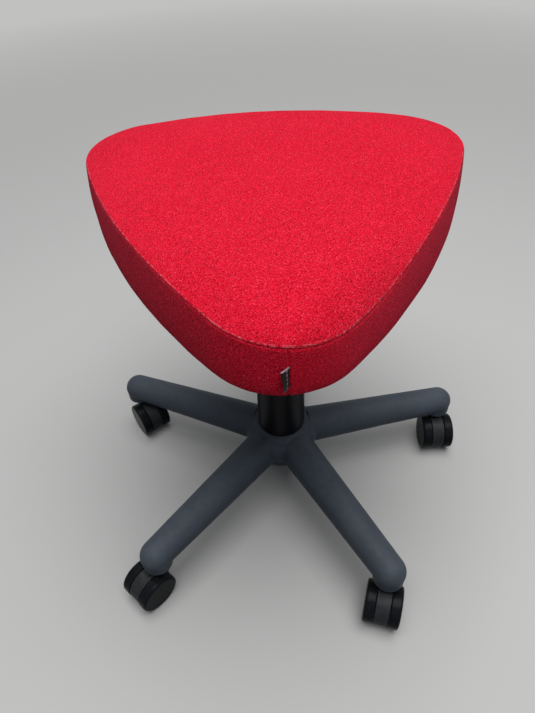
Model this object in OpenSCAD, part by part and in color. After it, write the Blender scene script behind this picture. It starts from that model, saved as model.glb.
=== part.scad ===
// Rolling stool: a rounded triangular seat on a gas lift, with a five-legged base on twin-wheel casters.
// Millimetres. +Z is up, the origin is on the floor under the column, and one seat tip points along -Y.
// The seat is drawn half way up the lift's stroke.

/* [Seat pad] */
// Reach from the column's axis to each tip of the seat
seat_reach = 210; // [195:1:225]
// Radius of the seat's three rounded tips
tip_r = 70; // [55:1:85]
// Radius of the seat's three bowed sides
side_r = 490; // [440:5:700]
// Height of the pad's lower edge above the floor
seat_z = 394; // [390:1:410]
// Thickness of the pad at its middle
pad_h = 76; // [60:1:95]
// Radius of the shallow crown on top
crown_r = 2500; // [1800:50:5000]
// Radius of the rolled upper rim
rim_r = 9; // [6:1:20]
// How far the side leans in from the rim to the lower edge
side_draft = 5; // [0:0.5:10]
// Thickness of the upholstery fabric with its backing
fabric_t = 2.5; // [1.5:0.1:3.5]
// Width of the fabric turned in under the pad
turn_under = 42; // [36:1:50]
// Air left between the fabric and the foam
foam_gap = 0.3; // [0.3:0.1:0.6]

/* [Seat board] */
// Thickness of the plywood seat board
board_t = 12; // [9:1:18]
// Distance from the seat's outline to the board's edge
board_inset = 22; // [16:1:28]
// Thickness of the lining under the seat
lining_t = 0.6; // [0.4:0.1:1.2]
// Distance from the seat's outline to the lining's edge
lining_inset = 16; // [12:1:20]
// Number of staples along each side of the seat
side_staples = 9; // [5:1:12]
// Number of staples round each tip
tip_staples = 3; // [1:1:5]
// Width of a staple's crown
staple_w = 10; // [6:1:12]
// Length of a staple's legs
staple_l = 8; // [6:1:10]
// Thickness of the staple wire
staple_t = 0.6; // [0.5:0.1:0.9]
// Distance from the seat's outline to the row of staples
staple_inset = 31; // [29:1:34]

/* [Seat tag] */
// Height of the folded tag in the seam at the front tip
tag_h = 26; // [15:1:36]
// How far the tag stands out of the seam
tag_out = 9; // [5:1:15]
// Thickness of the folded tag
tag_t = 1.4; // [0.8:0.1:2]
// Height of the tag's lower end above the pad's lower edge
tag_lift = 6; // [1:1:15]
// Turn of the tag away from the seam's own direction
tag_turn = -35; // [-45:1:45]

/* [Mechanism plate] */
// Length of the plate's bolted flange, along the lever
flange_l = 170; // [160:1:200]
// Width of the plate's bolted flange
flange_w = 150; // [130:1:170]
// Thickness of the pressed steel plate
plate_t = 2.5; // [2:0.1:3]
// Radius of the flange's corners
flange_r = 12; // [5:1:15]
// Depth of the pressed box below the board
box_h = 50; // [48:0.5:52]
// Reach of the box on the lever's side of the column
box_front = 60; // [52:1:66]
// Reach of the box behind the column
box_back = 50; // [30:1:60]
// Outside width of the box
box_w = 56; // [54:1:70]
// Direction in which the lever points, counted from +X
lever_turn = 30; // [0:5:360]

/* [Plate bolts] */
// Distance between the plate's bolts along the lever
bolt_pitch_l = 144; // [138:1:146]
// Distance between the plate's bolts across the lever
bolt_pitch_w = 116; // [90:1:120]
// Thread diameter of the plate's bolts
bolt_d = 6; // [5:0.5:8]
// Width across the corners of the bolt's hexagon head
bolt_head_d = 11.5; // [11.5:0.5:15]
// Height of the bolt's head
bolt_head_h = 4; // [3:0.5:6]
// Diameter of the washers
washer_d = 14; // [13:0.5:18]
// Thickness of the washers
washer_t = 1.6; // [1:0.1:2.5]
// Outside diameter of the T-nut's barrel
tnut_barrel_d = 9; // [8.5:0.5:11]
// Length of the T-nut's barrel
tnut_barrel_l = 7.5; // [5:0.5:8]
// Diameter of the T-nut's flange
tnut_flange_d = 20; // [15:1:24]
// Thickness of the T-nut's flange
tnut_flange_t = 1.5; // [1:0.1:2]

/* [Lever] */
// Distance from the column's axis to the lever's pivot
pivot_x = 33; // [31:0.5:36]
// Diameter of the pivot pin
pivot_d = 6; // [5:0.5:7]
// Depth of the pivot pin below the seat board
pivot_drop = 12; // [11.5:0.5:12.5]
// Outside diameter of the lever's pivot sleeve
sleeve_d = 11; // [10:0.5:12]
// Diameter of the lever's rod
rod_d = 8; // [6:0.5:9]
// Distance from the column's axis to the rod's first bend
bend_x = 74; // [68:1:78]
// Distance from the column's axis to the lever's grip
grip_x = 122; // [112:1:126]
// Drop of the rod from the pivot to the grip
grip_drop = 20; // [18:1:30]
// Length of the grip
grip_l = 44; // [30:1:50]
// Diameter of the grip
grip_d = 17; // [14:1:19]
// Thickness of the lever's pad over the release pin
pad_t = 2.5; // [2:0.1:2.8]
// Width of the lever's pad
pad_w = 14; // [10:1:20]
// Clearance between the pad and the release pin
pad_gap = 0.3; // [0.2:0.1:0.5]

/* [Gas lift] */
// Outside diameter of the outer tube in the base
tube_d = 50; // [46:1:50]
// Wall of the outer tube
tube_t = 2; // [1.5:0.1:2.5]
// Height of the outer tube's lower end above the floor
tube_z = 42; // [36:1:50]
// Height of the outer tube's upper end above the floor
tube_top_z = 268; // [250:1:270]
// Narrowing of the tube's diameter in the hub
tube_taper = 1.6; // [0.8:0.2:3]
// Diameter of the gas cylinder
cyl_d = 28; // [26:0.5:28]
// Wall of the gas cylinder
cyl_t = 2; // [1.5:0.1:2.2]
// Height of the gas cylinder's lower end above the floor
cyl_z = 150; // [146:1:154]
// Narrowing of the cylinder's diameter in the socket
cyl_taper = 1.6; // [0.8:0.2:2.4]
// Height of the cylinder that rises out of the socket
cyl_nose = 2; // [1:0.5:3]
// Diameter of the piston rod
piston_rod_d = 10; // [8:0.5:11]
// Thickness of the piston
piston_t = 12; // [8:1:14]
// Height of the piston's underside above the floor
piston_z = 226; // [224:1:232]
// Length of the gland that closes the cylinder
gland_l = 12; // [8:1:12]
// Length of the guide bush
bush_l = 68; // [50:1:70]
// Thickness of the bush's flange
bush_flange_t = 3; // [2:0.5:3]
// Outside diameter of the release pin
pin_d = 8; // [6:0.5:9]
// Height of the release pin above the cylinder
pin_rise = 5; // [4.5:0.5:5.5]
// Length of the release pin
pin_l = 40; // [30:1:45]
// Bevel of the release pin's upper edge
pin_edge = 1.5; // [0.5:0.1:2]
// Travel of the seat each way from where it is drawn
half_stroke = 60; // [40:1:60]

/* [Thrust bearing] */
// Height of the outer tube's floor above the tube's lower end
tube_floor_z = 8; // [7:0.5:10]
// Thickness of the outer tube's floor
tube_floor_t = 3; // [2:0.5:4]
// Diameter of the rod's lower spigot
spigot_d = 8; // [7:0.5:9]
// Outside diameter of the bearing's races
race_d = 27; // [24:1:30]
// Thickness of each race
race_t = 2.5; // [1.5:0.5:3]
// Diameter of the bearing's balls
ball_d = 5; // [4:0.5:6]
// Number of balls
ball_count = 8; // [6:1:9]
// Diameter of the ring on which the balls run
ball_ring_d = 19; // [18:0.5:20]
// Thickness of the ball cage
cage_t = 2; // [1.5:0.1:2.5]
// Outside diameter of the rubber bump stop
bump_d = 24; // [20:1:30]
// Length of the rubber bump stop
bump_l = 22; // [12:1:24]
// Thickness of the washer under the tube's floor
end_washer_t = 2; // [1.5:0.1:2.2]
// Outside diameter of that washer
end_washer_d = 18; // [16:1:22]
// Thickness of the retaining clip
clip_t = 1.2; // [0.8:0.1:1.5]
// Outside diameter of the retaining clip
clip_d = 13; // [12:0.5:16]

/* [Column covers] */
// Diameter of the lower cover at its foot
low_cover_d = 63; // [61:0.5:68]
// Diameter of the lower cover at its top
low_cover_top_d = 60; // [59.5:0.5:60.5]
// Wall of the lower cover
low_cover_t = 2; // [1.8:0.1:2]
// Height of the lower cover
low_cover_h = 162; // [155:1:162]
// Outside diameter of the upper cover
up_cover_d = 55; // [54.5:0.1:55.2]
// Wall of the upper cover
up_cover_t = 1.8; // [1.2:0.1:2]
// Height of the upper cover's lower end above the floor
up_cover_z = 168; // [166:1:175]
// Thickness of the upper cover's top
up_cover_top_t = 2; // [1.5:0.1:2.5]
// Length of the socket below the mechanism box
socket_below = 8; // [6:0.5:9]
// Length of the tapered socket
socket_l = 46; // [44:0.5:47]
// Outside diameter of the tapered socket
socket_d = 42; // [38:0.5:44]

/* [Five-legged base] */
// Radius of the circle on which the caster stems stand
stem_circle_r = 236; // [220:1:250]
// Direction of the first leg, counted from +X
leg_turn = -59.75; // [-90:0.25:-30]
// Height of the legs' axis above the floor, over the casters
leg_axis_z = 72; // [70:1:74]
// Slope of the legs, up to the hub
leg_slope = 2; // [0:0.5:3]
// Radius of a leg at the hub
leg_root_r = 26; // [25:0.5:28]
// Radius of a leg at its tip
leg_tip_r = 19; // [18.5:0.5:20]
// Height of the legs' open undersides above the floor, over the casters
leg_open_z = 56; // [55:0.5:57]
// Wall of the legs
leg_wall = 3.5; // [3:0.5:4]
// Radius of the hub
hub_r = 42; // [41:1:48]
// Height of the hub's top above the floor
hub_top_z = 105; // [104:1:108]
// Height of the hub's underside above the floor
hub_low_z = 48; // [46:1:54]
// Radius of the hub's rolled upper edge
hub_edge_r = 12; // [6:1:14]
// Thickness of the hub's top
hub_top_t = 9; // [6:1:12]
// Wall of the hub's outer skin
hub_wall = 4; // [3:0.5:5]
// Wall of the hub's sleeve round the outer tube
hub_sleeve_t = 6; // [4:0.5:8]
// Radius of the hollow corner between two legs
web_r = 12; // [12:1:24]
// Thickness of the ribs inside the legs
rib_t = 2.5; // [2:0.1:3]
// Number of cross ribs in each leg
rib_count = 4; // [2:1:6]

/* [Casters] */
// Diameter of the caster wheels
wheel_d = 50; // [48:0.5:50]
// Width of each wheel
wheel_w = 12.5; // [10:0.5:15]
// Width of the hood between the wheels
hood_w = 16.4; // [15:0.2:18]
// Clearance between the hood and each wheel
wheel_gap = 0.8; // [0.5:0.1:1.2]
// Distance from the stem's axis back to the wheels' axle
trail = 20; // [17:0.5:22]
// How far the hood's edge lies inside the wheels' edge
hood_step = 0.8; // [0.5:0.1:3]
// Clearance of the hood above the floor
hood_floor_gap = 4; // [2:0.5:6]
// Radius of the wheels' outer edge
wheel_edge_r = 3; // [0.5:0.1:3.2]
// Thickness of the wheels' rim
wheel_rim_t = 4; // [3:0.5:6]
// Thickness of the wheels' outer face
wheel_face_t = 3; // [2:0.5:4]
// Diameter of the wheels' hub
wheel_hub_d = 16; // [14:0.5:20]
// Diameter of the caster axle
axle_d = 8; // [6:0.5:9]
// Diameter of the caster stem
stem_d = 11; // [10:0.5:11.5]
// Length of the stem inside the leg
stem_in_leg = 28; // [22:1:29]
// Length of the stem inside the hood
stem_in_hood = 22; // [16:1:23]
// Diameter of the stem's flange
stem_flange_d = 18; // [15:1:22]
// Thickness of the stem's flange
stem_flange_t = 2; // [1.5:0.1:2.5]
// Diameter of the collar on top of the hood
collar_d = 21; // [18:1:24]
// Thickness of the collar on top of the hood
collar_t = 2.6; // [2:0.1:2.8]
// Height of the grip ring on the stem
grip_ring_h = 5; // [3:0.5:7]
// Thickness of the grip ring
grip_ring_t = 1; // [0.8:0.1:1.2]
// Direction of each caster's axle, leg by leg
caster_heading = [-17, 0, 40, 35, -43];

/* [Fits] */
// Radial clearance of pieces that turn or slide on each other
run_fit = 0.05; // [0.02:0.01:0.1]
// Radial clearance of pieces that are pressed or welded together
hold_fit = 0.02; // [0.01:0.01:0.04]
// Clearance between end faces that turn past each other
face_gap = 0.3; // [0.2:0.05:0.5]

/* [Hidden] */
$fn = 96;
legs = 5;
eps = 1;

// Seat outline: three tip circles, joined by three side arcs that touch them
tip_centre = seat_reach - tip_r;
side_centre = (sqrt(4 * pow(side_r - tip_r, 2) - 3 * pow(tip_centre, 2)) - tip_centre) / 2;
// Each side arc runs on by this many degrees, so that it and the tips are one solid
arc_overlap = 0.5;
side_half_angle = atan2(tip_centre * cos(30), tip_centre * sin(30) + side_centre);
// The crown meets the rolled rim just inside it, at the middle of the sides
rim_drop = crown_sag(side_r - side_centre - rim_r - 2);
seat_top_z = seat_z + pad_h;
board_z = seat_z + fabric_t;
board_top_z = board_z + board_t;

// Mechanism under the board
flange_z = board_z - plate_t;
box_z = board_z - box_h;
socket_z = box_z - socket_below;
socket_top_z = socket_z + socket_l;
cyl_top_z = socket_top_z + cyl_nose;
pin_top_z = cyl_top_z + pin_rise;
pivot_z = board_z - pivot_drop;
pad_z = pin_top_z + pad_gap;
bolt_head_z = flange_z - washer_t - bolt_head_h;
box_l = box_front + box_back;
slot_w = rod_d + 2;

// Lift, from the floor of the outer tube upwards
floor_z = tube_z + tube_floor_z;
floor_top_z = floor_z + tube_floor_t;
ball_z = floor_top_z + race_t;
race_up_z = ball_z + ball_d;
shoulder_z = race_up_z + race_t;
end_washer_z = floor_z - face_gap - end_washer_t;
end_clip_z = end_washer_z - clip_t;
rod_end_z = end_clip_z - 1.5;
tube_bore_d = tube_d - 2 * tube_t;
cyl_bore_d = cyl_d - 2 * cyl_t;
valve_z = piston_z + piston_t + half_stroke + 8;
piston_spigot_d = piston_rod_d - 3;
up_cover_top_z = socket_z - 1;

// Base and casters
leg_spread = 360 / legs;
leg_start_x = leg_root_r / tan(leg_spread / 2) + 1;
wheel_z = wheel_d / 2;
hood_r = wheel_d / 2 - hood_step;
flange_low_z = leg_open_z - stem_flange_t;
hood_top_z = flange_low_z - face_gap;
stem_top_z = leg_open_z + stem_in_leg;
stem_low_z = hood_top_z - stem_in_hood;
grip_ring_z = leg_open_z + stem_in_leg / 2;
axle_l = hood_w + 2 * wheel_gap + 2 * (wheel_w - wheel_face_t) - 2 * face_gap;

root_nodes = ["base_star", "caster_stems", "grip_rings", "lift_tube", "guide_bush", "race_lower",
  "bearing_balls", "bearing_cage", "lower_cover"];
rod_nodes = ["piston_rod", "rod_piston", "race_upper", "bump_stop", "rod_end_washer", "rod_end_clip"];
seat_nodes = ["lift_cylinder", "cylinder_gland", "upper_cover", "lift_socket", "mechanism_plate",
  "pivot_pin", "pivot_clips", "plate_bolts", "plate_washers", "tee_nuts", "seat_board", "seat_foam",
  "seat_cover", "underside_lining", "lining_staples", "seat_tag"];
control_nodes = ["release_pin", "height_lever", "lever_grip"];
caster_parts = ["caster_hood_", "caster_axle_", "caster_wheel_left_", "caster_wheel_right_"];
caster_nodes = [for (k = [1 : legs]) for (part = caster_parts) str(part, k)];

// ---------- seat ----------

// Points of a quarter round from the side at height z to the top, r mm in
function round_over(x, z, r) = [for (i = [0 : 6]) [x - r + r * cos(15 * i), z - r + r * sin(15 * i)]];

// Half section of the pad's edge between the radii inner and outer
function edge_section(inner, outer, z0, z1, round, draft) = concat(
  [[inner, z0], [outer - draft, z0]],
  round > 0 ? round_over(outer, z1, round) : [[outer, z1]],
  [[inner, z1]]);

// Seat outline as a block from z0 to z1, inset from the outline, with a rolled upper edge
module seat_block(inset, z0, z1, round = 0, draft = 0) {
  tip = tip_r - inset;
  side = side_r - inset;
  band = tip_r + 20;
  for (k = [0 : 2]) {
    rotate([0, 0, 120 * k]) {
      translate([0, -tip_centre, 0])
        rotate([0, 0, side_half_angle - 150])
          rotate_extrude(angle = 120 - 2 * side_half_angle)
            polygon(edge_section(0, tip, z0, z1, round, draft));
      translate([0, -side_centre, 0])
        rotate([0, 0, 90 - side_half_angle - arc_overlap])
          rotate_extrude(angle = 2 * (side_half_angle + arc_overlap))
            polygon(edge_section(side_r - band, side, z0, z1, round, draft));
    }
  }
  translate([0, 0, z0])
    linear_extrude(z1 - z0)
      polygon([for (k = [0 : 2]) (tip_centre + tip / 2) * [cos(120 * k - 90), sin(120 * k - 90)]]);
}

// How far the crown has dropped at a distance x from the column
function crown_sag(x) = crown_r - sqrt(pow(crown_r, 2) - pow(x, 2));

// Everything under the crown of the seat, lowered by drop
module under_crown(drop) {
  reach = seat_reach + 20;
  top = seat_top_z - drop;
  rotate_extrude()
    polygon(concat([[0, seat_z - 10], [reach, seat_z - 10]],
      [for (i = [10 : -1 : 0]) [reach * i / 10, top - crown_sag(reach * i / 10)]]));
}

// Pad with a crowned top, inset all round by the same distance
module pad_block(inset) {
  intersection() {
    union() {
      seat_block(inset, seat_z + inset, seat_top_z - rim_drop - inset, max(rim_r - inset, 1), side_draft);
      seat_block(rim_r + 1, seat_z + inset, seat_top_z);
    }
    under_crown(inset);
  }
}

module seat_cover() {
  color("crimson")
    difference() {
      pad_block(0);
      pad_block(fabric_t);
      seat_block(turn_under, seat_z - eps, board_z + eps);
    }
}

module seat_foam() {
  color("khaki")
    difference() {
      pad_block(fabric_t + foam_gap);
      seat_block(board_inset - foam_gap, seat_z, board_top_z);
      at_bolts() translate([0, 0, board_top_z - eps])
        cylinder(d = tnut_flange_d + 2 * foam_gap, h = tnut_flange_t + foam_gap + eps);
    }
}

module at_bolts() {
  rotate([0, 0, lever_turn])
    for (x = [-1, 1], y = [-1, 1])
      translate([x * bolt_pitch_l / 2, y * bolt_pitch_w / 2, 0]) children();
}

module seat_board() {
  color("burlywood")
    difference() {
      seat_block(board_inset, board_z, board_top_z);
      at_bolts() {
        translate([0, 0, board_z - eps]) cylinder(d = bolt_d + 1, h = board_t + 2 * eps);
        translate([0, 0, board_top_z - tnut_barrel_l])
          cylinder(d = tnut_barrel_d + 2 * hold_fit, h = board_t);
      }
    }
}

module tee_nuts() {
  color("silver")
    at_bolts()
      difference() {
        union() {
          translate([0, 0, board_top_z - tnut_barrel_l]) cylinder(d = tnut_barrel_d, h = tnut_barrel_l);
          translate([0, 0, board_top_z]) cylinder(d = tnut_flange_d, h = tnut_flange_t);
        }
        translate([0, 0, board_z]) cylinder(d = bolt_d + 2 * hold_fit, h = 2 * board_t);
      }
}

module underside_lining() {
  color("dimgray")
    difference() {
      seat_block(lining_inset, seat_z - lining_t, seat_z);
      rotate([0, 0, lever_turn])
        translate([-flange_l / 2 - 2, -flange_w / 2 - 2, seat_z - 2 * eps])
          cube([flange_l + 4, flange_w + 4, 3 * eps]);
    }
}

module staple() {
  translate([-staple_w / 2, -staple_t, 0]) cube([staple_w, 2 * staple_t, staple_t]);
  for (x = [-staple_w / 2, staple_w / 2 - staple_t])
    translate([x, -staple_t, 0]) cube([staple_t, 2 * staple_t, staple_l]);
}

module lining_staples() {
  z = seat_z - lining_t - staple_t;
  side_step = 2 * side_half_angle / side_staples;
  tip_step = (120 - 2 * side_half_angle) / tip_staples;
  color("silver")
    for (k = [0 : 2])
      rotate([0, 0, 120 * k]) {
        translate([0, -side_centre, z])
          for (i = [0 : side_staples - 1])
            rotate([0, 0, (i + 0.5) * side_step - side_half_angle])
              translate([0, side_r - staple_inset, 0]) staple();
        translate([0, -tip_centre, z])
          for (i = [0 : tip_staples - 1])
            rotate([0, 0, (i + 0.5 - tip_staples / 2) * tip_step])
              translate([0, staple_inset - tip_r, 0]) staple();
      }
}

// How far the leaning side lies inside the outline, at a height above the pad's lower edge
function side_inset(h) = side_draft * (1 - h / (pad_h - rim_drop - rim_r));

module seat_tag() {
  low_root = side_inset(tag_lift) + fabric_t / 2;
  top_root = side_inset(tag_lift + tag_h) + fabric_t / 2;
  color("black")
    translate([0, -seat_reach, seat_z + tag_lift])
      rotate([0, 0, tag_turn])
        translate([tag_t / 2, 0, 0]) rotate([90, 0, -90]) linear_extrude(tag_t)
          polygon([[-low_root, 0], [tag_out, 0], [tag_out, tag_h], [-top_root, tag_h]]);
}

// ---------- mechanism and lever ----------

module mechanism_plate() {
  color("gray")
    rotate([0, 0, lever_turn])
      difference() {
        union() {
          translate([0, 0, flange_z]) flange_outline(plate_t);
          translate([-box_back, -box_w / 2, box_z]) cube([box_l, box_w, box_h]);
        }
        translate([plate_t - box_back, plate_t - box_w / 2, box_z + plate_t])
          cube([box_l - 2 * plate_t, box_w - 2 * plate_t, box_h]);
        translate([0, 0, box_z - eps]) cylinder(d = socket_d + 2 * hold_fit, h = plate_t + 2 * eps);
        translate([pivot_x, box_w / 2 + eps, pivot_z]) rotate([90, 0, 0])
          cylinder(d = pivot_d + 2 * hold_fit, h = box_w + 2 * eps);
        translate([box_front - 2 * plate_t, -slot_w / 2, pivot_z - slot_w / 2])
          cube([3 * plate_t, slot_w, slot_w + 3]);
        rotate([0, 0, -lever_turn]) at_bolts() translate([0, 0, flange_z - eps])
          cylinder(d = bolt_d + 1, h = plate_t + 2 * eps);
      }
}

module flange_outline(h) {
  x = flange_l / 2 - flange_r;
  y = flange_w / 2 - flange_r;
  translate([-x, -flange_w / 2, 0]) cube([2 * x, flange_w, h]);
  translate([-flange_l / 2, -y, 0]) cube([flange_l, 2 * y, h]);
  for (sx = [-1, 1], sy = [-1, 1])
    translate([sx * x, sy * y, 0]) cylinder(r = flange_r, h = h);
}

// Tapered cylinder end, and with a clearance the bore that takes it
module taper_end(clearance, h) {
  cylinder(d1 = cyl_d + 2 * clearance, d2 = cyl_d - cyl_taper * h / socket_l + 2 * clearance, h = h);
}

module lift_socket() {
  color("gray")
    difference() {
      translate([0, 0, socket_z]) cylinder(d = socket_d, h = socket_l);
      translate([0, 0, socket_z]) taper_end(hold_fit, socket_l);
    }
}

module plate_bolts() {
  color("dimgray")
    at_bolts() {
      translate([0, 0, bolt_head_z]) cylinder(d = bolt_head_d, h = bolt_head_h, $fn = 6);
      translate([0, 0, bolt_head_z]) cylinder(d = bolt_d, h = board_top_z - bolt_head_z);
    }
}

module plate_washers() {
  color("silver")
    at_bolts()
      translate([0, 0, flange_z - washer_t])
        difference() {
          cylinder(d = washer_d, h = washer_t);
          translate([0, 0, -eps]) cylinder(d = bolt_d + 0.4, h = washer_t + 2 * eps);
        }
}

// Groove and clip of the pivot pin share these places
pivot_clip_t = 0.8;
pivot_clip_y = box_w / 2 + 0.1;
pivot_end_y = pivot_clip_y + pivot_clip_t + 1;
pivot_groove_d = pivot_d - 1.2;

module along_pivot() {
  rotate([0, 0, lever_turn]) translate([pivot_x, 0, pivot_z]) rotate([90, 0, 0]) children();
}

module pivot_pin() {
  color("silver")
    along_pivot()
      difference() {
        translate([0, 0, -pivot_end_y]) cylinder(d = pivot_d, h = 2 * pivot_end_y);
        for (side = [0, 1]) mirror([0, 0, side]) translate([0, 0, pivot_clip_y])
          groove(pivot_d, pivot_groove_d, pivot_clip_t);
      }
}

// Ring cut from a shaft of diameter d down to diameter inner
module groove(d, inner, h) {
  difference() {
    cylinder(d = d + 2, h = h);
    translate([0, 0, -eps]) cylinder(d = inner, h = h + 2 * eps);
  }
}

// Sprung C-shaped ring for a groove
module open_ring(outer_d, inner_d, h, opening) {
  rotate([0, 0, opening / 2])
    rotate_extrude(angle = 360 - opening)
      translate([inner_d / 2, 0]) square([(outer_d - inner_d) / 2, h]);
}

module pivot_clips() {
  color("dimgray")
    along_pivot()
      for (side = [0, 1]) mirror([0, 0, side]) translate([0, 0, pivot_clip_y])
        open_ring(pivot_d + 4, pivot_groove_d + 2 * hold_fit, pivot_clip_t, 60);
}

module rod_between(a, b) {
  step = b - a;
  translate(a)
    rotate([0, atan2(step[0], step[2]), 0])
      cylinder(d = rod_d, h = norm(step));
}

module height_lever() {
  sleeve_l = box_w - 2 * plate_t - 2 * face_gap;
  first_bend = [bend_x, 0, pivot_z];
  second_bend = [grip_x, 0, pivot_z - grip_drop];
  rod_end = [grip_x + grip_l - 6, 0, pivot_z - grip_drop];
  color("dimgray")
    rotate([0, 0, lever_turn])
      difference() {
        union() {
          translate([pivot_x, sleeve_l / 2, pivot_z]) rotate([90, 0, 0]) cylinder(d = sleeve_d, h = sleeve_l);
          translate([-pin_d / 2 - 2, -pad_w / 2, pad_z]) cube([pivot_x + pin_d / 2 + 2, pad_w, pad_t]);
          translate([pivot_x - sleeve_d / 2 + 1, -pad_w / 2, pivot_z])
            cube([sleeve_d - 2, pad_w, pad_z + pad_t - pivot_z]);
          rod_between([pivot_x, 0, pivot_z], first_bend);
          translate(first_bend) sphere(d = rod_d + 1);
          rod_between(first_bend, second_bend);
          translate(second_bend) sphere(d = rod_d + 1);
          rod_between(second_bend, rod_end);
        }
        translate([pivot_x, box_w / 2, pivot_z]) rotate([90, 0, 0])
          cylinder(d = pivot_d + 2 * run_fit, h = box_w);
      }
}

module lever_grip() {
  neck_d = rod_d + 4;
  end_r = grip_d / 2;
  color("black")
    rotate([0, 0, lever_turn])
      translate([grip_x, 0, pivot_z - grip_drop])
        rotate([0, 90, 0])
          difference() {
            rotate_extrude()
              polygon(concat([[0, 2], [neck_d / 2 - 1, 2], [neck_d / 2, 3]],
                [[end_r, grip_l - end_r - 2]],
                [for (i = [0 : 6]) [end_r * cos(15 * i), grip_l - end_r + end_r * sin(15 * i)]]));
            cylinder(d = rod_d + 2 * hold_fit, h = grip_l - 6 + hold_fit);
          }
}

// ---------- gas lift ----------

module release_pin() {
  color("silver")
    translate([0, 0, pin_top_z - pin_l]) {
      cylinder(d = pin_d, h = pin_l - pin_edge);
      translate([0, 0, pin_l - pin_edge]) cylinder(d1 = pin_d, d2 = pin_d - 2 * pin_edge, h = pin_edge);
    }
}

module lift_cylinder() {
  straight_l = socket_z - cyl_z;
  pin_hole_z = pin_top_z - pin_l - 5;
  color("dimgray")
    difference() {
      union() {
        translate([0, 0, cyl_z]) cylinder(d = cyl_d, h = straight_l);
        translate([0, 0, socket_z]) taper_end(0, socket_l + cyl_nose);
      }
      translate([0, 0, cyl_z - eps]) cylinder(d = cyl_bore_d, h = valve_z - cyl_z + eps);
      translate([0, 0, pin_hole_z]) cylinder(d = pin_d + 2 * run_fit, h = cyl_top_z - pin_hole_z + eps);
    }
}

module cylinder_gland() {
  color("black")
    translate([0, 0, cyl_z])
      difference() {
        cylinder(d = cyl_bore_d - 2 * hold_fit, h = gland_l);
        translate([0, 0, -eps]) cylinder(d = piston_rod_d + 2 * run_fit, h = gland_l + 2 * eps);
      }
}

module piston_rod() {
  clip_groove_d = spigot_d - 1.6;
  color("silver")
    difference() {
      union() {
        translate([0, 0, rod_end_z]) cylinder(d = spigot_d, h = shoulder_z - rod_end_z);
        translate([0, 0, shoulder_z]) cylinder(d = piston_rod_d, h = piston_z - shoulder_z);
        translate([0, 0, piston_z]) cylinder(d = piston_spigot_d, h = piston_t + 1);
      }
      translate([0, 0, end_clip_z]) groove(spigot_d, clip_groove_d, clip_t);
    }
}

module rod_piston() {
  color("dimgray")
    translate([0, 0, piston_z])
      difference() {
        cylinder(d = cyl_bore_d - 2 * run_fit, h = piston_t);
        translate([0, 0, -eps]) cylinder(d = piston_spigot_d + 2 * hold_fit, h = piston_t + 2 * eps);
      }
}

module flat_ring(outer_d, inner_d, z, h) {
  translate([0, 0, z])
    difference() {
      cylinder(d = outer_d, h = h);
      translate([0, 0, -eps]) cylinder(d = inner_d, h = h + 2 * eps);
    }
}

module race_upper() {
  color("silver") flat_ring(race_d, spigot_d + 2 * hold_fit, race_up_z, race_t);
}

module race_lower() {
  color("silver") flat_ring(race_d, spigot_d + 2, floor_top_z, race_t);
}

module bump_stop() {
  color("black") flat_ring(bump_d, piston_rod_d + 2 * hold_fit, shoulder_z, bump_l);
}

module rod_end_washer() {
  color("silver") flat_ring(end_washer_d, spigot_d + 2 * hold_fit, end_washer_z, end_washer_t);
}

module rod_end_clip() {
  color("dimgray")
    translate([0, 0, end_clip_z]) open_ring(clip_d, spigot_d - 1.6 + 2 * hold_fit, clip_t, 50);
}

module at_balls() {
  for (k = [0 : ball_count - 1])
    rotate([0, 0, 360 / ball_count * k]) translate([ball_ring_d / 2, 0, 0]) children();
}

module bearing_balls() {
  color("silver") at_balls() translate([0, 0, ball_z + ball_d / 2]) sphere(d = ball_d - 2 * hold_fit);
}

module bearing_cage() {
  color("goldenrod")
    difference() {
      flat_ring(race_d - 1, spigot_d + 2, ball_z + ball_d / 2 - cage_t / 2, cage_t);
      at_balls() translate([0, 0, ball_z]) cylinder(d = ball_d + 2 * run_fit, h = ball_d);
    }
}

// Outer tube's tapered foot, and with a clearance the bore in the hub that takes it
module tube_foot(clearance, z) {
  narrow = tube_d - tube_taper * (hub_top_z - z) / (hub_top_z - tube_z);
  translate([0, 0, z])
    cylinder(d1 = narrow + 2 * clearance, d2 = tube_d + 2 * clearance, h = hub_top_z - z);
}

module lift_tube() {
  foot_bore_d = tube_bore_d - tube_taper;
  color("dimgray")
    difference() {
      union() {
        tube_foot(0, tube_z);
        translate([0, 0, hub_top_z]) cylinder(d = tube_d, h = tube_top_z - hub_top_z);
      }
      translate([0, 0, hub_top_z]) cylinder(d = tube_bore_d, h = tube_top_z - hub_top_z + eps);
      translate([0, 0, floor_top_z]) cylinder(d = foot_bore_d, h = hub_top_z - floor_top_z + eps);
      translate([0, 0, tube_z - eps]) cylinder(d = foot_bore_d, h = tube_floor_z + eps);
      translate([0, 0, floor_z - eps]) cylinder(d = spigot_d + 2, h = tube_floor_t + 2 * eps);
    }
}

module guide_bush() {
  color("ivory")
    difference() {
      union() {
        translate([0, 0, tube_top_z - bush_l]) cylinder(d = tube_bore_d - 2 * hold_fit, h = bush_l);
        translate([0, 0, tube_top_z]) cylinder(d = tube_d, h = bush_flange_t);
      }
      translate([0, 0, tube_top_z - bush_l - eps])
        cylinder(d = cyl_d + 2 * run_fit, h = bush_l + bush_flange_t + 2 * eps);
    }
}

// ---------- column covers ----------

module lower_cover() {
  inner_d = low_cover_d - 2 * low_cover_t;
  inner_top_d = low_cover_top_d - 2 * low_cover_t;
  color("black")
    translate([0, 0, hub_top_z])
      difference() {
        cylinder(d1 = low_cover_d, d2 = low_cover_top_d, h = low_cover_h);
        cylinder(d1 = inner_d, d2 = inner_top_d, h = low_cover_h);
        translate([0, 0, -eps]) cylinder(d = inner_d, h = 2 * eps);
        translate([0, 0, low_cover_h - eps]) cylinder(d = inner_top_d, h = 2 * eps);
      }
}

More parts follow.
